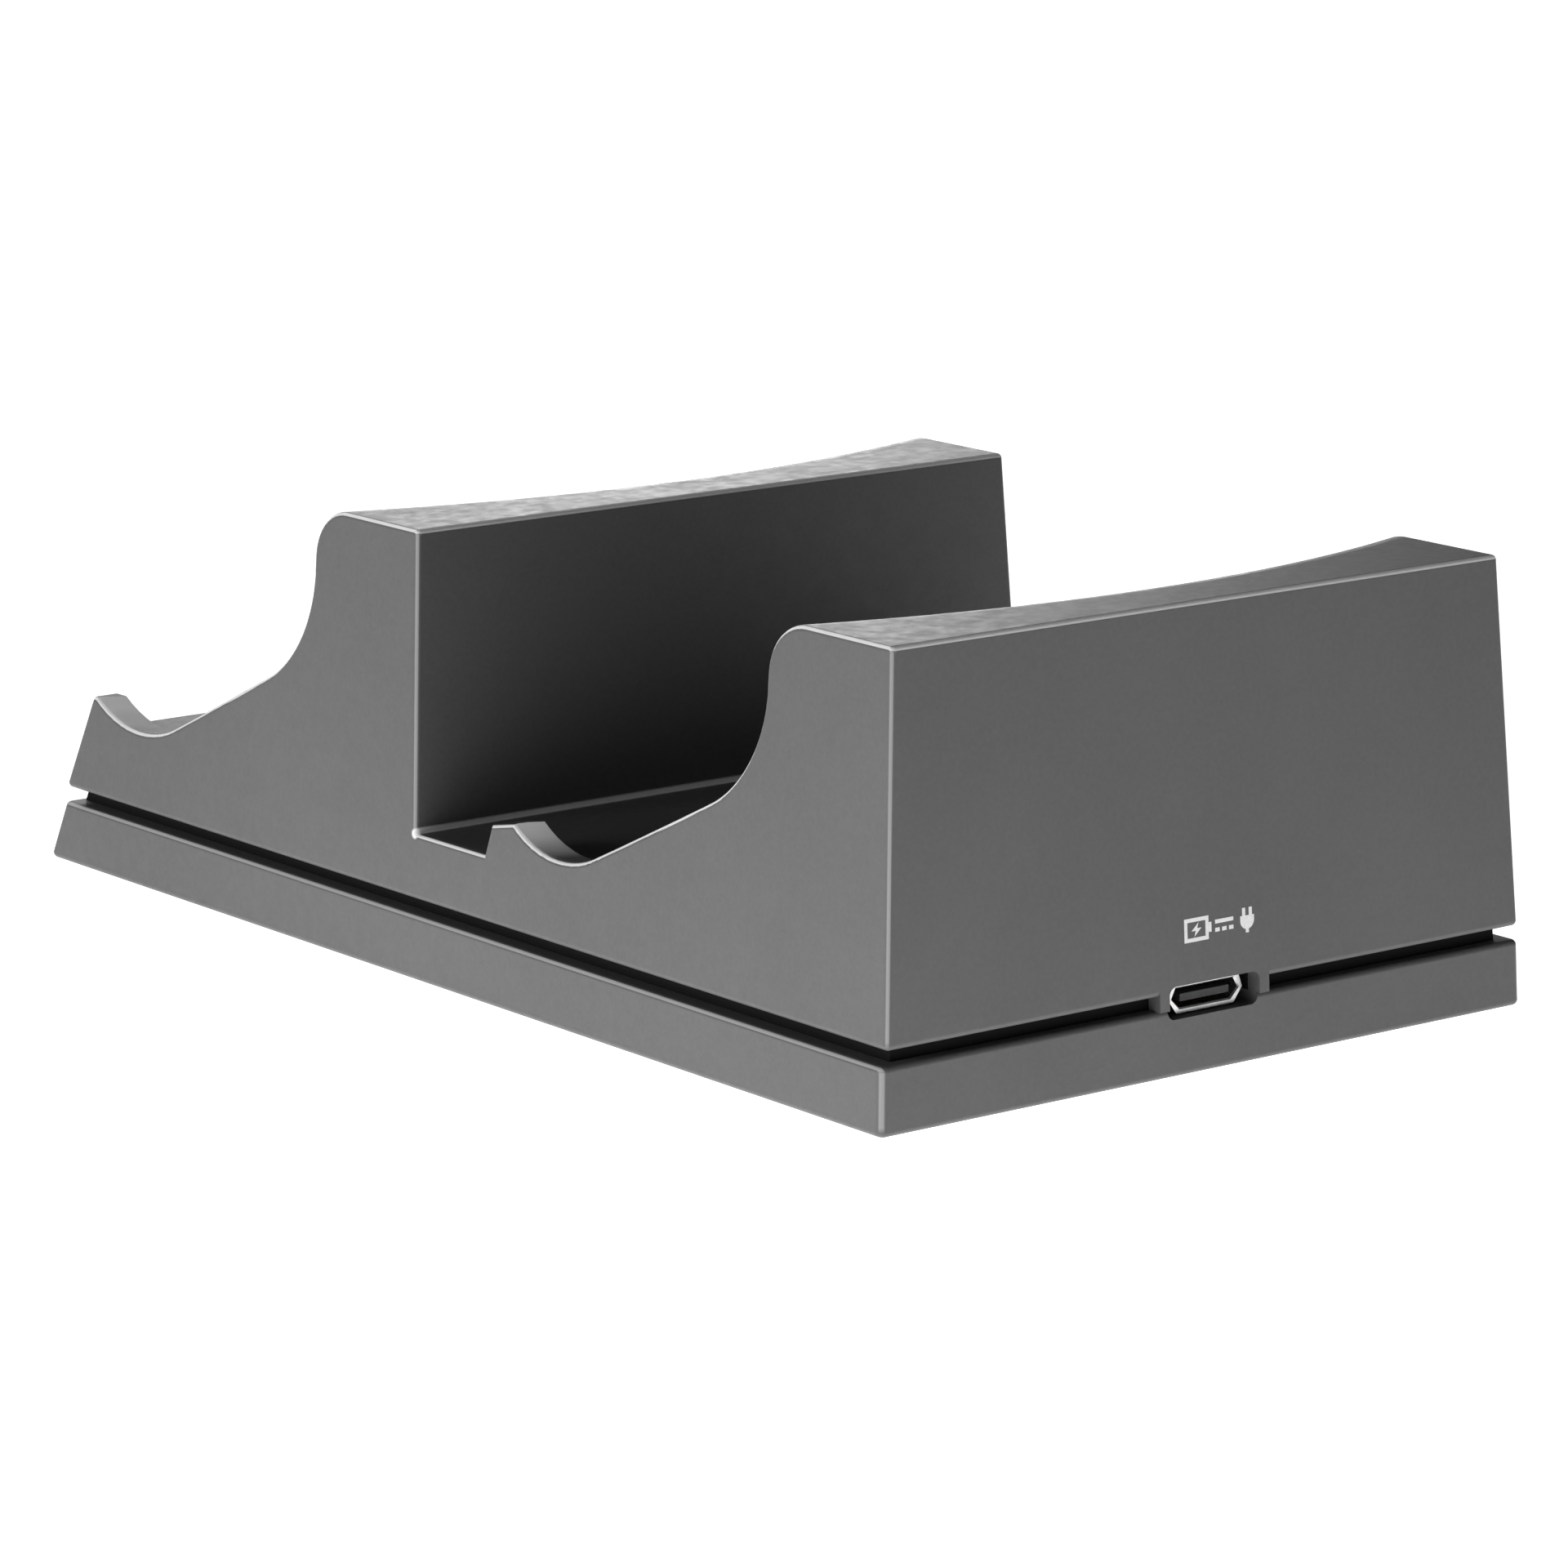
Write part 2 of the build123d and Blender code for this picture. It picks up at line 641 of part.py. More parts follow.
plug_tip = z_seat + plug_reach
under_board = z_plug_board - plug_board_thickness
for bay, y in plug_ys.items():
    bay_pins = [(x, pin_y) for x, pin_y in pin_points if abs(pin_y - y - header_offset) < fit_gap]

    with BuildPart() as plug_seat:
        with BuildSketch(Plane.XY.offset(z_plug_board)):
            with Locations((0, y)):
                SlotOverall(seat_length + 2 * seat_flange, seat_width + 2 * seat_flange)
        extrude(amount=seat_flange)
        with BuildSketch(Plane.XY.offset(z_ceiling)):
            with Locations((0, y)):
                SlotOverall(seat_length, seat_width)
        extrude(amount=z_seat - z_ceiling)
        chamfer(edges().group_by(Axis.Z)[-1], seat_chamfer)
        with BuildSketch(Plane.XY.offset(z_plug_board)):
            plug_section(y, fit_gap)
        extrude(amount=z_seat - z_plug_board, mode=Mode.SUBTRACT)
    keep(plug_seat, f"{bay}_plug_seat")

    with BuildPart() as plug_shell:
        with BuildSketch(Plane.XY.offset(z_plug_board)):
            plug_section(y)
        extrude(amount=plug_tip - z_plug_board)
        with BuildSketch(Plane.XY.offset(z_plug_board)):
            plug_section(y, -plug_sheet)
        extrude(amount=plug_tip - z_plug_board, mode=Mode.SUBTRACT)
    keep(plug_shell, f"{bay}_plug_shell")

    tongue_back = y + plug_thickness / 2 - plug_sheet
    tongue_width = plug_width - 2 * plug_sheet
    with BuildPart() as plug_insulator:
        with BuildSketch(Plane.XY.offset(z_plug_board)):
            plug_section(y, -plug_sheet)
        extrude(amount=z_seat - z_plug_board)
        with BuildSketch(Plane.XY.offset(z_seat)):
            with Locations((0, tongue_back - plug_tongue / 2)):
                Rectangle(tongue_width, plug_tongue)
        extrude(amount=plug_reach - contact_inset)
    keep(plug_insulator, f"{bay}_plug_insulator")

    with BuildPart() as plug_contacts:
        with BuildSketch(Plane.XY.offset(z_seat)):
            with Locations(*[(x, tongue_back - plug_tongue - contact_thickness / 2) for x in contact_xs]):
                Rectangle(contact_width, contact_thickness)
        extrude(amount=plug_reach - 2 * contact_inset)
    keep(plug_contacts, f"{bay}_plug_contacts")

    with BuildPart() as plug_board:
        with BuildSketch(Plane.XY.offset(under_board)):
            with Locations((0, y + plug_board_centre)):
                RectangleRounded(plug_board_length, plug_board_width, board_corner)
            with Locations(*[(x, y) for x in plug_screw_xs]):
                Circle(plug_screw_diameter / 2 + fit_gap, mode=Mode.SUBTRACT)
            with Locations(*bay_pins):
                Circle(pin_diameter / 2 + fit_gap, mode=Mode.SUBTRACT)
        extrude(amount=plug_board_thickness)
    keep(plug_board, f"{bay}_plug_board")

    with BuildPart() as board_header:
        with BuildSketch(Plane.XY.offset(z_board)):
            with Locations((0, y + header_offset)):
                Rectangle(header_span + header_pitch, header_width)
            with Locations(*bay_pins):
                Circle(pin_diameter / 2, mode=Mode.SUBTRACT)
        extrude(amount=under_board - z_board)
    keep(board_header, f"{bay}_board_header")

    with BuildPart() as header_pin_row:
        with BuildSketch(Plane.XY.offset(z_board - board_thickness - pin_stub)):
            with Locations(*bay_pins):
                Circle(pin_diameter / 2)
        extrude(amount=z_plug_board - z_board + board_thickness + 2 * pin_stub)
    keep(header_pin_row, f"{bay}_header_pins")

    chip_y = y + controller_offset
    with BuildPart() as charge_controller:
        lead_width, lead_length, lead_sheet = controller_lead
        body_length, body_width, body_height = controller_size
        with BuildSketch(Plane.XY.offset(z_board + lead_sheet)):
            with Locations((0, chip_y)):
                Rectangle(body_length, body_width)
        extrude(amount=body_height)
        chamfer(edges().group_by(Axis.Z)[-1], lead_sheet)
        with BuildSketch(Plane.XY.offset(z_board)):
            for side in (-1, 1):
                with Locations((0, chip_y + side * body_width / 2)):
                    with GridLocations(controller_pitch, 0, controller_leads, 1):
                        Rectangle(lead_width, 2 * lead_length)
        extrude(amount=lead_sheet)
    keep(charge_controller, f"{bay}_charge_controller")

# Parts on the main board
parts_y = socket_y - socket_depth - socket_to_parts
inductor_x = -(parts_gap + inductor_size[0]) / 2
capacitor_x = (parts_gap + capacitor_diameter) / 2
with BuildPart() as power_inductor:
    with BuildSketch(Plane.XY.offset(z_board)):
        with Locations((inductor_x, parts_y)):
            Rectangle(inductor_size[0], inductor_size[1])
    extrude(amount=inductor_size[2])
    chamfer(edges().filter_by(Axis.Z), inductor_chamfer)
keep(power_inductor, "power_inductor")

with BuildPart() as input_capacitor:
    with BuildSketch(Plane.XY.offset(z_board)):
        with Locations((capacitor_x, parts_y)):
            Rectangle(capacitor_diameter, capacitor_diameter)
    extrude(amount=capacitor_base)
    with BuildSketch(Plane.XY.offset(z_board + capacitor_base)):
        with Locations((capacitor_x, parts_y)):
            Circle(capacitor_diameter / 2)
    extrude(amount=capacitor_height - capacitor_base)
keep(input_capacitor, "input_capacitor")

controller_ys = [y + controller_offset for y in plug_ys.values()]
with BuildPart() as chip_capacitors:
    with BuildSketch(Plane.XY.offset(z_board)):
        with Locations(*[(x, y) for x in (-chip_offset, chip_offset) for y in controller_ys]):
            Rectangle(chip_size[0], chip_size[1])
    extrude(amount=chip_size[2])
keep(chip_capacitors, "chip_capacitors")

with BuildPart() as chip_resistors:
    with BuildSketch(Plane.XY.offset(z_board)):
        with Locations(*[(0, y + resistor_offset) for y in controller_ys]):
            with GridLocations(resistor_spacing, 0, resistor_count, 1):
                Rectangle(resistor_size[0], resistor_size[1])
    extrude(amount=resistor_size[2])
keep(chip_resistors, "chip_resistors")

with BuildPart() as status_lights:
    with BuildSketch(Plane.XY.offset(z_board)):
        with Locations(*[(x, light_y) for x in light_xs]):
            Rectangle(light_size[0], light_size[1])
    extrude(amount=light_size[2])
keep(status_lights, "status_lights")

# Light pipes, up from each light and forward through the front
for side, x in zip(("left", "right"), light_xs):
    foot_point = (x, light_y, z_board + light_size[2] + pipe_gap)
    with BuildPart() as light_pipe:
        with BuildLine() as path:
            FilletPolyline(foot_point, (x, light_y, z_pipe), (x, y_front, z_pipe), radius=pipe_bend)
        with BuildSketch(Plane(origin=foot_point)):
            Circle(pipe_diameter / 2)
        sweep()
        block(z_base, z_top, upper_faces, Mode.INTERSECT)
    keep(light_pipe, f"{side}_light_pipe")
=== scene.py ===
"""Looks of a two-bay controller charging dock, dressed on its CAD frame."""

import json
from itertools import product
from math import atan, cos, pi, radians, sin, tan

import bmesh
import bpy
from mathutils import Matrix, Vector


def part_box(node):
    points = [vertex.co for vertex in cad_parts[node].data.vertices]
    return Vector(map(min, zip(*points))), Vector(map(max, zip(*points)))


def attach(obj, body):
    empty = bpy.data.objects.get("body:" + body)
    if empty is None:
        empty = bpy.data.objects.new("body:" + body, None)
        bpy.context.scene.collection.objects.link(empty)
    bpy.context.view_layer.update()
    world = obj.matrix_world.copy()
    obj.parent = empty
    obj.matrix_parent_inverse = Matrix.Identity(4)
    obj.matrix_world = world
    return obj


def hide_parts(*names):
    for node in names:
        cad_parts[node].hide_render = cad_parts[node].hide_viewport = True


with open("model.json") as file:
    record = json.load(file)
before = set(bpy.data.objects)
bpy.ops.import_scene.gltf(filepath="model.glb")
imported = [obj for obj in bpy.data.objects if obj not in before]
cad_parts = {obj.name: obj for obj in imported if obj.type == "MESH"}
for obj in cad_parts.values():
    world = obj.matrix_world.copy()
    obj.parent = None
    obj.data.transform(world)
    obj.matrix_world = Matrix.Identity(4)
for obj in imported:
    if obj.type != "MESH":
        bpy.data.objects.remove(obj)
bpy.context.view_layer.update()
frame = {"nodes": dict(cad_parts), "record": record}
nodes = frame["nodes"]
upper_low, upper_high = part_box("upper_housing")
screws_low, screws_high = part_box("housing_screws")
scene = bpy.context.scene

# Camera fitted to the photograph: places in metres, lens and sensor in millimetres
CAMERA = Vector((0.326208, 0.425503, 0.131918))
TARGET = Vector((-0.000469, 0.003978, 0.014028))
LENS = 147.45
SENSOR = 36.0
CLIP_START = 0.01

# Place that the lamps face, and the strength of the light from all round
LIT_PLACE = Vector((0.0, 0.0, 0.02))
SKY_STRENGTH = 0.03

# Pale table top just under the feet, its glow, and the brighter patch beside the dock
FLOOR_LEVEL = -0.00005
FLOOR_HALF = 6.0
FLOOR_GLOW = 0.85
PATCH_PLACE = (0.09, 0.09, 0.0)
PATCH_GLOW = 0.8
PATCH_FULL = 0.08
PATCH_NONE = 0.2

# Lean of the back face, and the middle and the two levels of the small print on it
BACK_LEAN = radians(3.15)
PRINT_X = -0.0006
PRINT_Z = 0.0124
PRINT_LOW = -0.00001
PRINT_HIGH = 0.00002

# Rounding of the outer edges, and the painted highlight line along the foot of the front wall's back
EDGE_RADIUS = 0.00045
WALL_FOOT = (0.0, -0.003169, 0.01305)
WALL_FOOT_NONE = 1.1 * EDGE_RADIUS
WALL_FOOT_FULL = 0.7 * EDGE_RADIUS

# Ears, by their inner sides, their levels and the way that their slopes with the painted highlight
# face
EAR_INNER = 0.0299
EAR_LOW = 0.0142
EAR_HIGH = 0.0166
EAR_UPWARDS = 0.4
EAR_BACKWARDS_NONE = 0.05
EAR_BACKWARDS_FULL = 0.4

# Rounded edges with painted highlight lines: least distance from the middle, levels of the two
# housings, and the product of squares of the ways they face at which the line starts and is full
EDGE_OUTSIDE = 0.0305
UPPER_EDGE_LOW = 0.0078
UPPER_TOP_EDGE = upper_high.z - 1.45 * EDGE_RADIUS
BASE_EDGE_LOW = 0.0012
EDGE_NONE = 0.12
EDGE_FULL = 0.2
TOP_EDGE_NONE = 0.04
TOP_EDGE_FULL = 0.12

# How far an edge may face up or down and still be part of an upright corner
CORNER_NONE = 0.4
CORNER_FULL = 0.2

# Greys of the housings: plastic, specks, painted highlights on edges, corners, the wall's foot
# and the ears' slopes, and painted shade in the shadow gap
PLASTIC_DARK = 0.105
PLASTIC_PALE = 0.119
SPECK_GREY = 0.2
SPECK_SHARE = 0.12
UPPER_EDGE_HIGHLIGHT_GREY = 0.95
BASE_EDGE_HIGHLIGHT_GREY = 0.45
CORNER_HIGHLIGHT_GREY = 0.32
WALL_FOOT_HIGHLIGHT_GREY = 0.9
EAR_HIGHLIGHT_GREY = 0.95
GAP_SHADE_GREY = 0.004

# Noise: roughness, and the limits between which nearly all of it lies
NOISE_ROUGHNESS = 0.55
NOISE_LOW = 0.3
NOISE_HIGH = 0.7

# Sockets of the mix node that hold its factor, its two colours and their blend
MIX_FACTOR = 0
MIX_FIRST = 6
MIX_SECOND = 7
MIX_RESULT = 2

# Housing screws, which stand on their heads: sizes, then places and levels from the frame.
# The curves give shares of a radius with the height over the crown, or the depth under the end
HEAD_RADIUS = 0.0022
HEAD_HEIGHT = 0.0016
HEAD_CURVE = ((0.72, 0.0), (0.88, 0.00018), (0.97, 0.00045), (1.0, 0.0008))
SHANK_RADIUS = 0.0012
CORE_RADIUS = 0.00092
TIP_CURVE = ((0.9, 0.0008), (0.35, 0.0))
TIP_LENGTH = 0.0015
THREAD_PITCH = 0.0009
THREAD_STEPS = 6
THREAD_SLOPE = 2.2
CROSS_LENGTH = 0.00125
CROSS_WIDTH = 0.00029
CROSS_DEPTH = 0.0009
CROSS_TAPER = 0.55
CROSS_TURNS = (0.34, 0.5, 0.65)
SCREW_XS = (screws_low.x + HEAD_RADIUS, screws_high.x - HEAD_RADIUS)
SCREW_YS = (screws_low.y + HEAD_RADIUS, screws_high.y - HEAD_RADIUS)
SCREW_CROWN = screws_low.z
SCREW_SEAT = SCREW_CROWN + HEAD_HEIGHT
SCREW_END = screws_high.z


def feed(tree, socket, value):
    """Link an input to another node's output, or set its value."""
    if isinstance(value, bpy.types.NodeSocket):
        tree.links.new(value, socket)
    else:
        socket.default_value = value


def set_inputs(tree, node, **values):
    """Feed the inputs of a node by their names."""
    for name, value in values.items():
        feed(tree, node.inputs[name.replace("_", " ")], value)


def add_node(tree, kind, settings=None, **values):
    """New shader node, with its properties set and its inputs fed by their names."""
    made = tree.nodes.new(kind)
    for name, value in (settings or {}).items():
        setattr(made, name, value)
    set_inputs(tree, made, **values)
    return made


def blank(name):
    """Material with only its shader, and the place of a point in the object's own frame."""
    material = bpy.data.materials.new(name)
    material.use_nodes = True
    tree = material.node_tree
    shader = tree.nodes["Principled BSDF"]
    place = add_node(tree, "ShaderNodeTexCoord").outputs["Object"]
    return material, tree, shader, place


def noise(tree, place, scale, detail=3.0):
    """Fractal noise, scale cells a metre."""
    kind = "ShaderNodeTexNoise"
    made = add_node(tree, kind, Vector=place, Scale=scale, Detail=detail, Roughness=NOISE_ROUGHNESS)
    return made.outputs["Fac"]


def spread(tree, value, low=0.0, high=1.0):
    """Noise, which keeps near its middle, spread over low to high."""
    limits = {"From_Min": NOISE_LOW, "From_Max": NOISE_HIGH, "To_Min": low, "To_Max": high}
    return add_node(tree, "ShaderNodeMapRange", Value=value, **limits).outputs["Result"]


def mix(tree, factor, first, second):
    """Blend of two colours."""
    made = add_node(tree, "ShaderNodeMix", {"data_type": "RGBA"})
    for number, value in ((MIX_FACTOR, factor), (MIX_FIRST, first), (MIX_SECOND, second)):
        feed(tree, made.inputs[number], value)
    return made.outputs[MIX_RESULT]


def bump(tree, shader, height, depth, strength):
    """Relief of that depth in metres."""
    made = add_node(tree, "ShaderNodeBump", Height=height, Distance=depth, Strength=strength)
    set_inputs(tree, shader, Normal=made.outputs["Normal"])


def grey(value):
    """Colour of one lightness."""
    return (value, value, value, 1.0)


def calculate(tree, operation, first, second=0.0):
    """Result of a calculation with one or two numbers or sockets."""
    made = add_node(tree, "ShaderNodeMath", {"operation": operation})
    for socket, value in zip(made.inputs, (first, second)):
        feed(tree, socket, value)
    return made.outputs[0]


def times(tree, *values):
    """Product of two or more sockets or numbers."""
    result = values[0]
    for value in values[1:]:
        result = calculate(tree, "MULTIPLY", result, value)
    return result


def fade(tree, value, none, full):
    """Mask that grows from 0 at one value to 1 at another."""
    made = add_node(tree, "ShaderNodeMapRange", Value=value, From_Min=none, From_Max=full)
    return made.outputs["Result"]


def split(tree, vector):
    """X, Y and Z of a vector."""
    made = add_node(tree, "ShaderNodeSeparateXYZ", Vector=vector).outputs
    return made["X"], made["Y"], made["Z"]


def facing(tree):
    """X, Y and Z of the way that the surface faces."""
    return split(tree, add_node(tree, "ShaderNodeNewGeometry").outputs["Normal"])


def distance(tree, place, middle):
    """Distance of a place from a fixed point."""
    made = add_node(tree, "ShaderNodeVectorMath", {"operation": "DISTANCE"})
    for socket, value in zip(made.inputs, (place, middle)):
        feed(tree, socket, value)
    return made.outputs["Value"]


def edge_highlights(tree, place, upper):
    """Masks of painted highlight lines along the middle of the rounded edges, told by the way they
    face and by where they are.

    The first holds the edges that run along or lean over, the second the upright corners."""
    x, _, level = split(tree, place)
    to_x, to_y, to_z = facing(tree)
    square = times(tree, to_x, to_x)
    rest = calculate(tree, "SUBTRACT", 1.0, square)
    sides = fade(tree, times(tree, square, rest), EDGE_NONE, EDGE_FULL)
    outside = calculate(tree, "GREATER_THAN", calculate(tree, "ABSOLUTE", x), EDGE_OUTSIDE)
    low = UPPER_EDGE_LOW if upper else BASE_EDGE_LOW
    sides = times(tree, sides, outside, fade(tree, level, low, low + EDGE_RADIUS))
    upright = fade(tree, calculate(tree, "ABSOLUTE", to_z), CORNER_NONE, CORNER_FULL)
    corners = times(tree, sides, upright)
    along = calculate(tree, "SUBTRACT", sides, corners)
    if upper:
        back = calculate(tree, "MAXIMUM", to_y, 0.0)
        tops = fade(tree, times(tree, back, back, to_z, to_z), TOP_EDGE_NONE, TOP_EDGE_FULL)
        tops = times(tree, tops, calculate(tree, "GREATER_THAN", level, UPPER_TOP_EDGE))
        along = calculate(tree, "MAXIMUM", along, tops)
    return along, corners


def wall_foot_highlight(tree, place):
    """Mask of the painted highlight line on the rounded foot of the front wall's back."""
    _, y, level = split(tree, place)
    section = add_node(tree, "ShaderNodeCombineXYZ", Y=y, Z=level).outputs["Vector"]
    return fade(tree, distance(tree, section, WALL_FOOT), WALL_FOOT_NONE, WALL_FOOT_FULL)


def ear_slope_highlight(tree, place):
    """Mask of the painted highlight on the ears' inner slopes."""
    x, _, level = split(tree, place)
    _, to_y, to_z = facing(tree)
    outside = calculate(tree, "GREATER_THAN", calculate(tree, "ABSOLUTE", x), EAR_INNER)
    above = calculate(tree, "GREATER_THAN", level, EAR_LOW)
    below = calculate(tree, "LESS_THAN", level, EAR_HIGH)
    upwards = calculate(tree, "GREATER_THAN", to_z, EAR_UPWARDS)
    backwards = fade(tree, to_y, EAR_BACKWARDS_NONE, EAR_BACKWARDS_FULL)
    return times(tree, backwards, outside, above, below, upwards)


def housing_plastic(name, upper):
    """Satin dark-grey moulding with a fine spark grain and painted highlights along its rounded edges.

    The upper housing also has painted highlights at the front wall's foot and on the ears' inner
    slopes, the base painted shade on its rim in the shadow gap.
    """
    material, tree, shader, place = blank(name)
    cloud = spread(tree, noise(tree, place, 45.0))
    speck = spread(tree, noise(tree, place, 2600.0, 2.0))
    colour = mix(tree, cloud, grey(PLASTIC_DARK), grey(PLASTIC_PALE))
    colour = mix(tree, speck, colour, mix(tree, SPECK_SHARE, colour, grey(SPECK_GREY)))
    rough = spread(tree, noise(tree, place, 900.0), 0.40, 0.52)
    along, corners = edge_highlights(tree, place, upper)
    # Painted highlights: pale lines along the rounded edges and paler upright corners
    colour = mix(tree, along, colour, grey(UPPER_EDGE_HIGHLIGHT_GREY if upper else BASE_EDGE_HIGHLIGHT_GREY))
    colour = mix(tree, corners, colour, grey(CORNER_HIGHLIGHT_GREY))
    if upper:
        # Painted highlight along the rounded foot of the front wall's back
        colour = mix(tree, wall_foot_highlight(tree, place), colour, grey(WALL_FOOT_HIGHLIGHT_GREY))
        # Painted highlight on the ears' inner slopes, where they face up and back
        colour = mix(tree, ear_slope_highlight(tree, place), colour, grey(EAR_HIGHLIGHT_GREY))
    else:
        # Painted shade: the base's rim inside the shadow gap, above the upper housing's foot, is
        # painted nearly black and made fully rough
        gap = calculate(tree, "GREATER_THAN", split(tree, place)[2], upper_low.z)
        colour = mix(tree, gap, colour, grey(GAP_SHADE_GREY))
        rough = calculate(tree, "MAXIMUM", rough, gap)
    set_inputs(tree, shader, Base_Color=colour, Roughness=rough, Specular_IOR_Level=0.35)
    bump(tree, shader, noise(tree, place, 4200.0, 2.0), 0.000012, 0.6)
    return material


def moulded(name, colour, rough, grain=3500.0, depth=0.00001):
    """Other mouldings and laminates: mottled colour, uneven gloss and a fine grain."""
    material, tree, shader, place = blank(name)
    paler = tuple(min(1.0, c * 1.25 + 0.004) for c in colour)
    mottled = mix(tree, spread(tree, noise(tree, place, 250.0)), (*colour, 1.0), (*paler, 1.0))
    uneven = spread(tree, noise(tree, place, 1400.0), rough - 0.06, rough + 0.06)
    set_inputs(tree, shader, Base_Color=mottled, Roughness=uneven)
    bump(tree, shader, noise(tree, place, grain, 2.0), depth, 0.5)
    return material


def metal(name, colour, rough):
    """Plated metal with fine drawn lines and slight staining."""
    material, tree, shader, place = blank(name)
    drawn = add_node(tree, "ShaderNodeMapping", Vector=place, Scale=(1.0, 1.0, 12.0))
    lines = noise(tree, drawn.outputs["Vector"], 2200.0)
    darker = tuple(c * 0.82 for c in colour)
    stained = mix(tree, spread(tree, noise(tree, place, 500.0)), (*colour, 1.0), (*darker, 1.0))
    uneven = spread(tree, lines, rough - 0.07, rough + 0.07)
    set_inputs(tree, shader, Base_Color=stained, Roughness=uneven, Metallic=1.0)
    bump(tree, shader, lines, 0.000004, 0.4)
    return material


def clear_pipe():
    """Milky light pipe with faint flow lines."""
    material, tree, shader, place = blank("light_pipe")
    flow = spread(tree, noise(tree, place, 700.0))
    milky = mix(tree, flow, (0.72, 0.75, 0.77, 1.0), (0.85, 0.87, 0.88, 1.0))
    uneven = spread(tree, noise(tree, place, 1500.0), 0.12, 0.22)
    set_inputs(tree, shader, Base_Color=milky, Roughness=uneven, Transmission_Weight=0.35, IOR=1.49)
    return material


def print_ink():
    """White pad-printed ink, a little uneven in cover."""
    material, tree, shader, place = blank("print_ink")
    cover = mix(tree, spread(tree, noise(tree, place, 6000.0)), grey(0.85), grey(0.96))
    uneven = spread(tree, noise(tree, place, 3000.0), 0.5, 0.65)
    set_inputs(tree, shader, Base_Color=cover, Roughness=uneven)
    return material


def floor_paint():
    """Pale paint that glows, most of all in the patch beside the dock."""
    material, tree, shader, place = blank("pale_floor")
    cloud = mix(tree, spread(tree, noise(tree, place, 3.0)), grey(0.8), grey(0.82))
    patch = fade(tree, distance(tree, place, PATCH_PLACE), PATCH_NONE, PATCH_FULL)
    glow = calculate(tree, "ADD", times(tree, patch, PATCH_GLOW), FLOOR_GLOW)
    set_inputs(tree, shader, Base_Color=cloud, Roughness=0.85)
    set_inputs(tree, shader, Emission_Color=grey(1.0), Emission_Strength=glow)
    return material


finishes = {
    "housing_plastic": housing_plastic("housing_plastic", True),
    "foot_rubber": moulded("foot_rubber", (0.018, 0.018, 0.018), 0.78, grain=2200.0, depth=0.00004),
    "screw_steel": metal("screw_steel", (0.48, 0.48, 0.47), 0.34),
    "board_laminate": moulded("board_laminate", (0.012, 0.11, 0.04), 0.36, grain=1500.0),
    "connector_steel": metal("connector_steel", (0.66, 0.66, 0.65), 0.3),
    "black_plastic": moulded("black_plastic", (0.016, 0.016, 0.017), 0.46),
    "contact_brass": metal("contact_brass", (0.83, 0.6, 0.24), 0.24),
    "capacitor_can": metal("capacitor_can", (0.72, 0.72, 0.73), 0.3),
    "chip_ceramic": moulded("chip_ceramic", (0.36, 0.22, 0.1), 0.5),
    "chip_black": moulded("chip_black", (0.012, 0.012, 0.014), 0.3),
    "light_body": moulded("light_body", (0.74, 0.68, 0.4), 0.25),
    "light_pipe": clear_pipe(),
}
own_finishes = {"base_housing": housing_plastic("base_plastic", False)}
for part in frame["record"]["subparts"]:
    mesh = nodes[part["node"]].data
    mesh.materials.clear()
    mesh.materials.append(own_finishes.get(part["node"], finishes[part["material_slot"]]))


def new_piece(name, form, material):
    """Object of a mesh form that moves with the dock."""
    bmesh.ops.recalc_face_normals(form, faces=form.faces)
    mesh = bpy.data.meshes.new(name)
    form.to_mesh(mesh)
    form.free()
    mesh.shade_smooth()
    mesh.set_sharp_from_angle(angle=radians(35.0))
    mesh.materials.append(material)
    piece = bpy.data.objects.new(name, mesh)
    scene.collection.objects.link(piece)
    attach(piece, "root")
    return piece


def stacked_rings(form, rings):
    """Closed skin over rings of as many points each, one above the other."""
    rows = [[form.verts.new(point) for point in ring] for ring in rings]
    count = len(rows[0])
    for low, high in zip(rows, rows[1:]):
        for k in range(count):
            form.faces.new((low[k - 1], low[k], high[k], high[k - 1]))
    form.faces.new(rows[0][::-1])
    form.faces.new(rows[-1])


def rectangle(u, v, width, height):
    """Corners of an upright rectangle about its middle."""
    corners = ((-1, -1), (1, -1), (1, 1), (-1, 1))
    return [(u + a * width / 2, v + b * height / 2) for a, b in corners]


def on_back(u, v, height):
    """Point over the leaning back face, by its way right and up from the print's middle."""
    level = PRINT_Z + v * cos(BACK_LEAN)
    face = upper_high.y - (level - upper_low.z) * tan(BACK_LEAN)
    return Vector((PRINT_X - u, face + height * cos(BACK_LEAN), level + height * sin(BACK_LEAN)))


def battery_sign(u, line):
    """Outlines of a battery with a bolt, about a middle, in millimetres."""
    width, height = 2.2, 1.9
    knob_out, knob_height = 1.4, 0.8
    bolt = ((0.22, 0.55), (-0.52, -0.1), (-0.08, -0.1), (-0.22, -0.55), (0.52, 0.1), (0.08, 0.1))
    shapes = [[(u + a, b) for a, b in bolt], rectangle(u + knob_out, 0.0, line, knob_height)]
    for side in (-1, 1):
        shapes.append(rectangle(u + side * width / 2, 0.0, line, height))
        shapes.append(rectangle(u, side * (height - line) / 2, width - line, line))
    return shapes


def current_sign(u, line):
    """Outlines of the sign for direct current, a line over three dashes, in millimetres."""
    width, rise = 1.9, 0.33
    dash, pitch = 0.46, 0.72
    dashes = [rectangle(u + k * pitch, -rise, dash, line) for k in (-1, 0, 1)]
    return [rectangle(u, rise, width, line), *dashes]


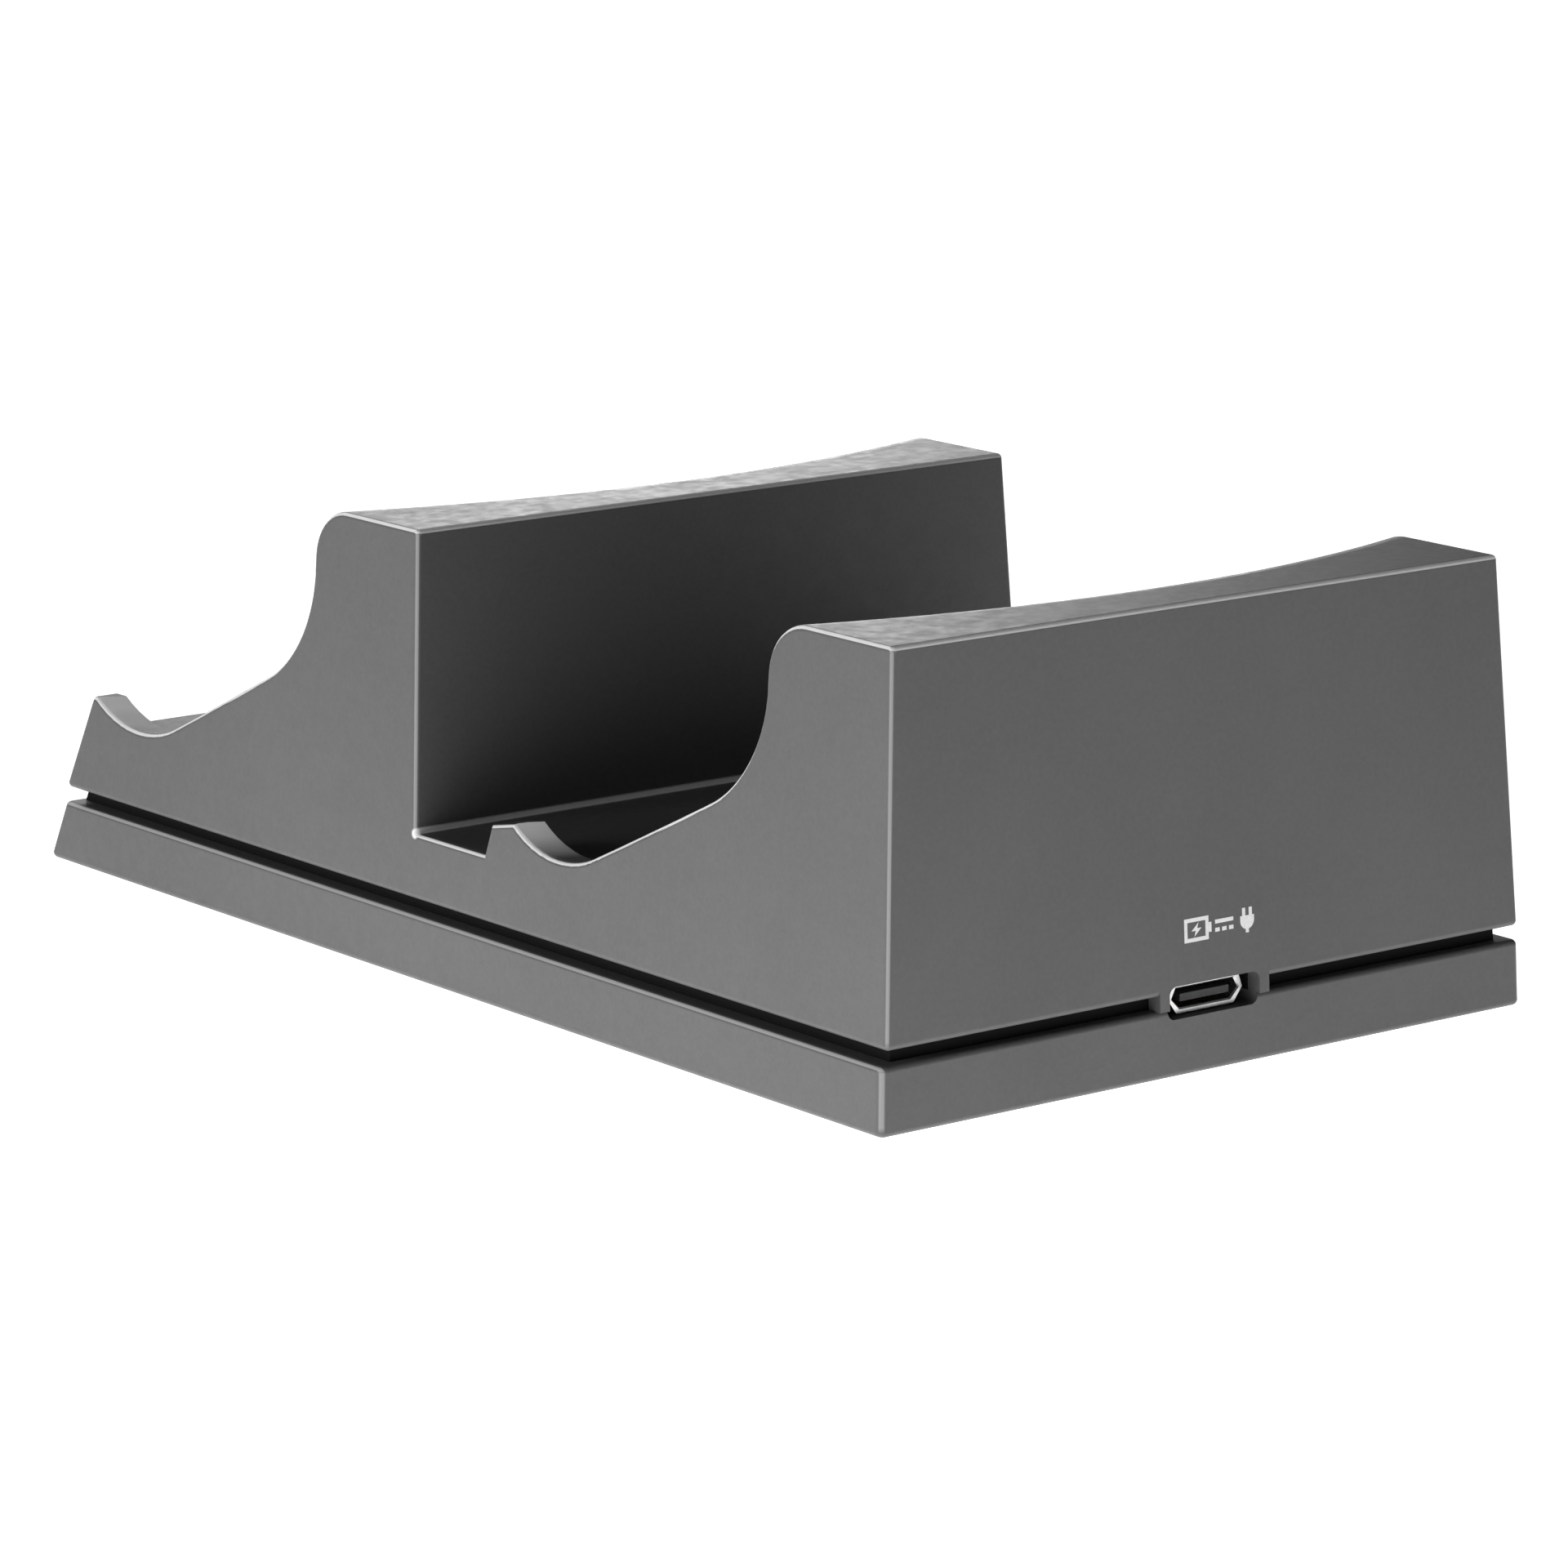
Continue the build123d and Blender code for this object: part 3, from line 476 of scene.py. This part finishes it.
def plug_sign(u, line):
    """Outlines of a plug: a rounded body, its lead below and two pins, in millimetres."""
    radius, round_v, top_v = 0.72, -0.02, 0.36
    lead_v, lead_length = -0.87, 0.3
    pin_out, pin_v, pin_length = 0.35, 0.68, 0.64
    steps = 12
    turns = [pi + pi * k / steps for k in range(steps + 1)]
    body = [(u + radius * cos(turn), round_v + radius * sin(turn)) for turn in turns]
    body += [(u + radius, top_v), (u - radius, top_v)]
    pins = [rectangle(u + side * pin_out, pin_v, line, pin_length) for side in (-1, 1)]
    return [body, rectangle(u, lead_v, line, lead_length), *pins]


def back_print():
    """Row of plain charging signs: a battery with a bolt, direct current, and a plug."""
    mm = 0.001
    line = 0.32
    shapes = battery_sign(-2.4, line) + current_sign(0.5, line) + plug_sign(2.9, line)
    form = bmesh.new()
    for outline in shapes:
        levels = (PRINT_LOW, PRINT_HIGH)
        stacked_rings(form, [[on_back(u * mm, v * mm, level) for u, v in outline] for level in levels])
    new_piece("back_print", form, print_ink())


def cross_reach(turn):
    """Reach of a cross recess's outline from its middle."""
    short, long = sorted((abs(cos(turn)), abs(sin(turn))))
    if short * CROSS_LENGTH > long * CROSS_WIDTH:
        return CROSS_WIDTH / short
    return CROSS_LENGTH / long


def thread_reach(level, turn):
    """Radius of the rolled thread, which climbs with the turn."""
    phase = (level / THREAD_PITCH - turn / (2 * pi)) % 1.0
    ridge = max(0.0, 1 - THREAD_SLOPE * abs(phase - 0.5))
    return CORE_RADIUS + (SHANK_RADIUS - CORE_RADIUS) * ridge


def screw_turns():
    """Turns at which a screw has points, with the corners of its cross recess among them."""
    arm = atan(CROSS_WIDTH / CROSS_LENGTH)
    mirrored = [pi / 2 - step for step in CROSS_TURNS[::-1]]
    steps = [-arm, 0.0, arm, *CROSS_TURNS, pi / 4, *mirrored]
    return [quarter * pi / 2 + step for quarter in range(4) for step in steps]


def screw_profile(turns):
    """Levels of a screw from its recess to its end, each with the radii at its turns."""
    recess = [cross_reach(turn) for turn in turns]
    floor = [CROSS_TAPER * reach for reach in recess]
    profile = [(SCREW_CROWN + CROSS_DEPTH, floor), (SCREW_CROWN, recess)]
    rounds = [(SCREW_CROWN + rise, share * HEAD_RADIUS) for share, rise in HEAD_CURVE]
    rounds += [(SCREW_SEAT, HEAD_RADIUS), (SCREW_SEAT, SHANK_RADIUS)]
    profile += [(level, [radius] * len(turns)) for level, radius in rounds]
    level = SCREW_SEAT
    while level < SCREW_END - TIP_LENGTH:
        level += THREAD_PITCH / THREAD_STEPS
        profile.append((level, [thread_reach(level, turn) for turn in turns]))
    for share, depth in TIP_CURVE:
        profile.append((SCREW_END - depth, [share * CORE_RADIUS] * len(turns)))
    return profile


def screw_heads():
    """Four pan-head screws with cross recesses and rolled threads, seen from under the base."""
    turns = screw_turns()
    profile = screw_profile(turns)
    form = bmesh.new()
    for x, y in product(SCREW_XS, SCREW_YS):
        rings = []
        for level, radii in profile:
            rings.append([(x + r * cos(t), y + r * sin(t), level) for r, t in zip(radii, turns)])
        stacked_rings(form, rings)
    piece = new_piece("cross_screws", form, finishes["screw_steel"])
    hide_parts("housing_screws")


def pale_floor():
    """Wide pale table top."""
    mesh = bpy.data.meshes.new("floor")
    form = bmesh.new()
    bmesh.ops.create_grid(form, x_segments=1, y_segments=1, size=FLOOR_HALF)
    form.to_mesh(mesh)
    form.free()
    mesh.materials.append(floor_paint())
    floor = bpy.data.objects.new("floor", mesh)
    floor.location.z = FLOOR_LEVEL
    scene.collection.objects.link(floor)


def soft_light(name, place, width, height, power):
    """Soft box that faces the dock."""
    lamp = bpy.data.lights.new(name, "AREA")
    lamp.shape = "RECTANGLE"
    lamp.size = width
    lamp.size_y = height
    lamp.energy = power
    holder = bpy.data.objects.new(name, lamp)
    holder.location = place
    holder.rotation_euler = (LIT_PLACE - Vector(place)).to_track_quat("-Z", "Y").to_euler()
    scene.collection.objects.link(holder)


def faint_sky():
    """White light from all round."""
    studio = bpy.data.worlds.new("studio")
    studio.use_nodes = True
    tree = studio.node_tree
    set_inputs(tree, tree.nodes["Background"], Color=grey(1.0), Strength=SKY_STRENGTH)
    scene.world = studio


def photo_camera():
    """Camera at the photograph's angle."""
    lens = bpy.data.cameras.new("camera")
    lens.lens = LENS
    lens.sensor_width = SENSOR
    lens.clip_start = CLIP_START
    camera = bpy.data.objects.new("camera", lens)
    camera.location = CAMERA
    camera.rotation_euler = (TARGET - CAMERA).to_track_quat("-Z", "Y").to_euler()
    scene.collection.objects.link(camera)
    scene.camera = camera


back_print()
screw_heads()
pale_floor()
scene.view_settings.view_transform = "Standard"
faint_sky()
soft_light("sheen", (-0.72, -0.99, 0.36), width=0.2, height=0.9, power=2.9)
soft_light("side", (1.3, -0.06, 0.27), width=0.6, height=0.6, power=7.2)
soft_light("front", (-0.15, -1.0, 0.8), width=0.6, height=0.6, power=6.0)
photo_camera()
